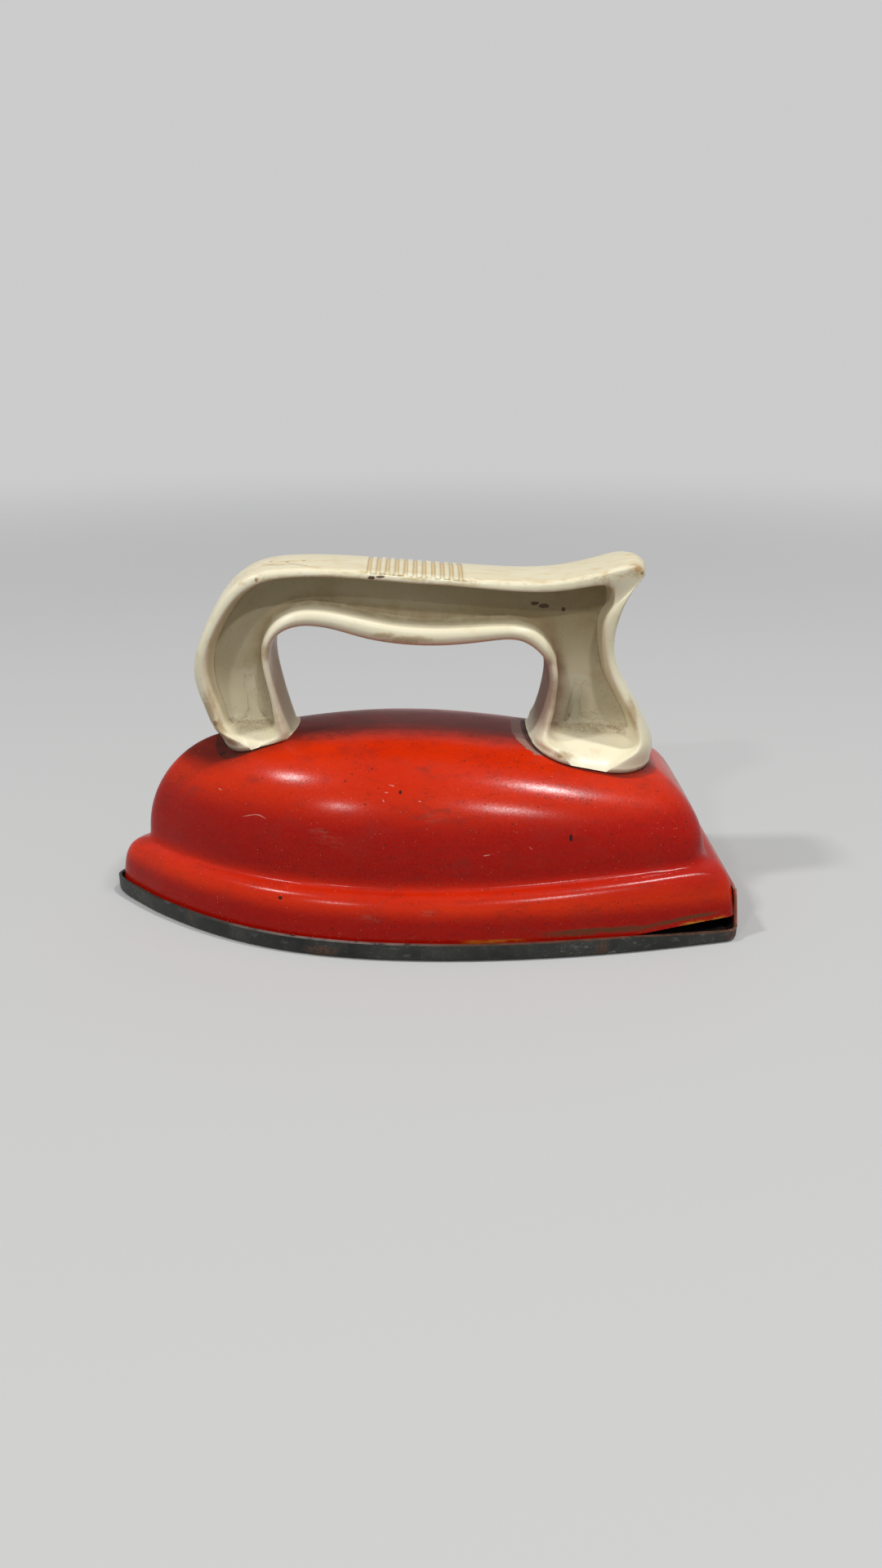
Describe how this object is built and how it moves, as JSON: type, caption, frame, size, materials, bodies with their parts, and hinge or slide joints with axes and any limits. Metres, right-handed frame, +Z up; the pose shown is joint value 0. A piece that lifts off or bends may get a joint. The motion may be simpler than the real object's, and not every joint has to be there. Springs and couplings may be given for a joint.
{
  "type": "toy iron",
  "caption": "Toy flat iron with a domed red tin body, a bare steel sole with a turned-up rim, and an open cream plastic handle with a grooved grip.",
  "frame": {"origin": "centre of the bounding box in plan, on the table plane under the sole", "axes": "+X from the nose to the flat rear, along the longest extent; +Y to the iron's far side with the nose on the left; +Z up; the sole faces -Z"},
  "size_m": [0.15, 0.0788, 0.0847],
  "materials": {
    "red_paint": "worn gloss enamel on tin",
    "sole_steel": "dull, darkened, with rust at the rear",
    "cream_plastic": "satin, yellowed, dirt in the recesses",
    "fastener_steel": "plain zinc plated"
  },
  "bodies": {
    "root": {"body_shell": "red_paint", "soleplate": "sole_steel", "handle": "cream_plastic", "front_handle_screw": "fastener_steel", "rear_handle_screw": "fastener_steel", "front_screw_washer": "fastener_steel", "rear_screw_washer": "fastener_steel"}
  },
  "joints": []
}
